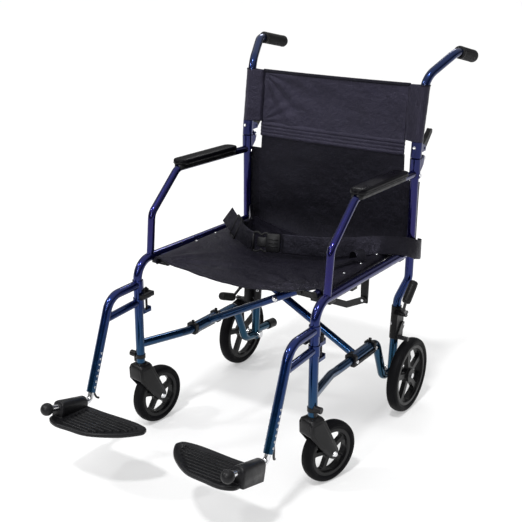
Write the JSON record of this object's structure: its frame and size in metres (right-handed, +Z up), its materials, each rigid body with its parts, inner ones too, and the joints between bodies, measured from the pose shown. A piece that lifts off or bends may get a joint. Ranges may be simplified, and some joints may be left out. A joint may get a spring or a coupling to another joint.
{
  "type": "manual wheelchair",
  "caption": "Folding transport wheelchair with tubular side frames, cross braces, fold-down back, swing-away hangers, flip-up footplates, casters and wheel brakes.",
  "frame": {"origin": "on the floor under the middle of the whole chair's box", "axes": "+X to the occupant's left, +Y to the chair's back, +Z up; the chair faces -Y"},
  "size_m": [0.6196, 1.0674, 0.9552],
  "materials": {
    "frame_paint": "glossy metallic dark blue paint on tube",
    "black_plastic": "moulded, fine grain",
    "black_steel": "satin black coat",
    "tyre": "matt black, solid",
    "soft_grip": "soft black, fine grain",
    "bright_steel": "bright plated",
    "nylon_cloth": "woven black nylon with a slight sheen"
  },
  "bodies": {
    "left_frame": {"side_tube_left": "frame_paint", "arm_tube_left": "frame_paint", "rear_post_left": "frame_paint", "lower_tube_left": "frame_paint", "back_hinge_left": "frame_paint", "arm_pad_left": "soft_grip", "frame_caps_left": "black_plastic", "frame_bolts_left": "bright_steel", "brake_bracket_left": "black_plastic", "back_panel_lower": "nylon_cloth", "belt_strap": "nylon_cloth"},
    "right_frame": {"side_tube_right": "frame_paint", "arm_tube_right": "frame_paint", "rear_post_right": "frame_paint", "lower_tube_right": "frame_paint", "back_hinge_right": "frame_paint", "arm_pad_right": "soft_grip", "frame_caps_right": "black_plastic", "frame_bolts_right": "bright_steel", "brake_bracket_right": "black_plastic", "belt_buckle": "nylon_cloth"},
    "rear_brace": {"brace_rear": "frame_paint", "seat_rail_right": "frame_paint", "seat_sling": "nylon_cloth"},
    "front_brace": {"brace_front": "frame_paint", "seat_rail_left": "frame_paint", "cross_bolt": "bright_steel"},
    "link_left": {"side_link_left": "black_steel"},
    "back_left": {"back_tube_left": "frame_paint", "grip_left": "soft_grip", "back_panel_upper": "nylon_cloth"},
    "release_lever_left": {"back_lever_left": "black_plastic"},
    "brake_left": {"brake_lever_left": "black_steel"},
    "shoe_left": {"brake_shoe_left": "black_steel"},
    "caster_left": {"caster_fork_left": "black_plastic", "caster_axle_left": "bright_steel"},
    "front_wheel_left": {"caster_tyre_left": "tyre", "caster_rim_left": "black_plastic"},
    "rear_wheel_left": {"rear_tyre_left": "tyre", "rear_rim_left": "black_plastic"},
    "hanger_left": {"hanger_tube_left": "frame_paint"},
    "latch_left": {"hanger_latch_left": "black_plastic"},
    "footrest_left": {"footrest_rod_left": "bright_steel"},
    "plate_left": {"footplate_left": "black_plastic"},
    "link_right": {"side_link_right": "black_steel"},
    "back_right": {"back_tube_right": "frame_paint", "grip_right": "soft_grip"},
    "release_lever_right": {"back_lever_right": "black_plastic"},
    "brake_right": {"brake_lever_right": "black_steel"},
    "shoe_right": {"brake_shoe_right": "black_steel"},
    "caster_right": {"caster_fork_right": "black_plastic", "caster_axle_right": "bright_steel"},
    "front_wheel_right": {"caster_tyre_right": "tyre", "caster_rim_right": "black_plastic"},
    "rear_wheel_right": {"rear_tyre_right": "tyre", "rear_rim_right": "black_plastic"},
    "hanger_right": {"hanger_tube_right": "frame_paint"},
    "latch_right": {"hanger_latch_right": "black_plastic"},
    "footrest_right": {"footrest_rod_right": "bright_steel"},
    "plate_right": {"footplate_right": "black_plastic"}
  },
  "joints": [
    {"name": "fold", "type": "hinge", "parent": "left_frame", "child": "rear_brace", "pos_m": [0.222, 0.0994, 0.222], "axis": [0, 1, 0], "range_deg": [0, 48], "deforming": ["seat_sling", "back_panel_lower", "back_panel_upper", "belt_strap"]},
    {"name": "cross", "type": "hinge", "parent": "rear_brace", "child": "front_brace", "pos_m": [0, 0.0654, 0.337], "axis": [0, 1, 0], "range_deg": [-96, 0]},
    {"name": "frame_fold", "type": "hinge", "parent": "front_brace", "child": "right_frame", "pos_m": [-0.222, 0.0404, 0.222], "axis": [0, 1, 0], "range_deg": [0, 48]},
    {"name": "link_swing_left", "type": "hinge", "parent": "left_frame", "child": "link_left", "pos_m": [0.254, 0.0389, 0.393], "axis": [0, 1, 0], "range_deg": [0, 71.18]},
    {"name": "back_fold_left", "type": "hinge", "parent": "left_frame", "child": "back_left", "pos_m": [0.254, 0.3104, 0.69], "axis": [-1, 0, 0], "range_deg": [0, 125]},
    {"name": "release_left", "type": "hinge", "parent": "back_left", "child": "release_lever_left", "pos_m": [0.254, 0.3214, 0.712], "axis": [1, 0, 0], "range_deg": [0, 15], "stiffness_Nm_per_rad": 0.3, "springref_deg": -17.19},
    {"name": "brake_swing_left", "type": "hinge", "parent": "left_frame", "child": "brake_left", "pos_m": [0.252, 0.2784, 0.277], "axis": [1, 0, 0], "range_deg": [0, 115]},
    {"name": "shoe_press_left", "type": "hinge", "parent": "left_frame", "child": "shoe_left", "pos_m": [0.245, 0.2914, 0.24], "axis": [1, 0, 0], "range_deg": [0, 8]},
    {"name": "caster_swivel_left", "type": "hinge", "parent": "left_frame", "child": "caster_left", "pos_m": [0.254, -0.1896, 0.2], "axis": [0, 0, 1], "continuous": true},
    {"name": "front_wheel_spin_left", "type": "hinge", "parent": "caster_left", "child": "front_wheel_left", "pos_m": [0.2702, -0.13914, 0.0762], "axis": [0.9521, -0.3057, 0], "continuous": true},
    {"name": "rear_wheel_spin_left", "type": "hinge", "parent": "left_frame", "child": "rear_wheel_left", "pos_m": [0.269, 0.2856, 0.1016], "axis": [1, 0, 0], "continuous": true},
    {"name": "hanger_swing_left", "type": "hinge", "parent": "left_frame", "child": "hanger_left", "pos_m": [0.254, -0.1896, 0.35], "axis": [0, 0, 1], "range_deg": [0, 90]},
    {"name": "latch_press_left", "type": "hinge", "parent": "hanger_left", "child": "latch_left", "pos_m": [0.254, -0.1596, 0.365], "axis": [0, 0, -1], "range_deg": [0, 15], "stiffness_Nm_per_rad": 0.3, "springref_deg": -17.19},
    {"name": "footrest_height_left", "type": "slide", "parent": "hanger_left", "child": "footrest_left", "axis": [0, -0.3497, -0.9369], "range_m": [0, 0.07]},
    {"name": "footplate_flip_left", "type": "hinge", "parent": "footrest_left", "child": "plate_left", "pos_m": [0.252, -0.3816, 0.157], "axis": [0, 0.9659, -0.2588], "range_deg": [0, 90]},
    {"name": "link_swing_right", "type": "hinge", "parent": "right_frame", "child": "link_right", "pos_m": [-0.254, 0.0919, 0.393], "axis": [0, 1, 0], "range_deg": [-71.18, 0]},
    {"name": "back_fold_right", "type": "hinge", "parent": "right_frame", "child": "back_right", "pos_m": [-0.254, 0.3104, 0.69], "axis": [-1, 0, 0], "range_deg": [0, 125]},
    {"name": "release_right", "type": "hinge", "parent": "back_right", "child": "release_lever_right", "pos_m": [-0.254, 0.3214, 0.712], "axis": [1, 0, 0], "range_deg": [0, 15], "stiffness_Nm_per_rad": 0.3, "springref_deg": -17.19},
    {"name": "brake_swing_right", "type": "hinge", "parent": "right_frame", "child": "brake_right", "pos_m": [-0.252, 0.2784, 0.277], "axis": [1, 0, 0], "range_deg": [-115, 0]},
    {"name": "shoe_press_right", "type": "hinge", "parent": "right_frame", "child": "shoe_right", "pos_m": [-0.245, 0.2914, 0.24], "axis": [1, 0, 0], "range_deg": [-8, 0]},
    {"name": "caster_swivel_right", "type": "hinge", "parent": "right_frame", "child": "caster_right", "pos_m": [-0.254, -0.1896, 0.2], "axis": [0, 0, 1], "continuous": true},
    {"name": "front_wheel_spin_right", "type": "hinge", "parent": "caster_right", "child": "front_wheel_right", "pos_m": [-0.24763, -0.13698, 0.0762], "axis": [0.9928, -0.1201, 0], "continuous": true},
    {"name": "rear_wheel_spin_right", "type": "hinge", "parent": "right_frame", "child": "rear_wheel_right", "pos_m": [-0.269, 0.2856, 0.1016], "axis": [1, 0, 0], "continuous": true},
    {"name": "hanger_swing_right", "type": "hinge", "parent": "right_frame", "child": "hanger_right", "pos_m": [-0.254, -0.1896, 0.35], "axis": [0, 0, -1], "range_deg": [0, 90]},
    {"name": "latch_press_right", "type": "hinge", "parent": "hanger_right", "child": "latch_right", "pos_m": [-0.254, -0.1596, 0.365], "axis": [0, 0, 1], "range_deg": [0, 15], "stiffness_Nm_per_rad": 0.3, "springref_deg": -17.19},
    {"name": "footrest_height_right", "type": "slide", "parent": "hanger_right", "child": "footrest_right", "axis": [0, -0.3497, -0.9369], "range_m": [0, 0.07]},
    {"name": "footplate_flip_right", "type": "hinge", "parent": "footrest_right", "child": "plate_right", "pos_m": [-0.252, -0.3816, 0.157], "axis": [0, -0.9659, 0.2588], "range_deg": [0, 90]}
  ],
  "couplings": [
    {"joint": "cross", "follows": "fold", "ratio": -2},
    {"joint": "frame_fold", "follows": "fold", "ratio": 1},
    {"joint": "link_swing_left", "follows": "fold", "ratio": 1.483},
    {"joint": "shoe_press_left", "follows": "brake_swing_left", "ratio": 0.069565},
    {"joint": "footplate_flip_left", "follows": "fold", "ratio": 1.875},
    {"joint": "link_swing_right", "follows": "fold", "ratio": -1.483},
    {"joint": "back_fold_right", "follows": "back_fold_left", "ratio": 1},
    {"joint": "shoe_press_right", "follows": "brake_swing_right", "ratio": 0.069565},
    {"joint": "footplate_flip_right", "follows": "fold", "ratio": 1.875}
  ]
}
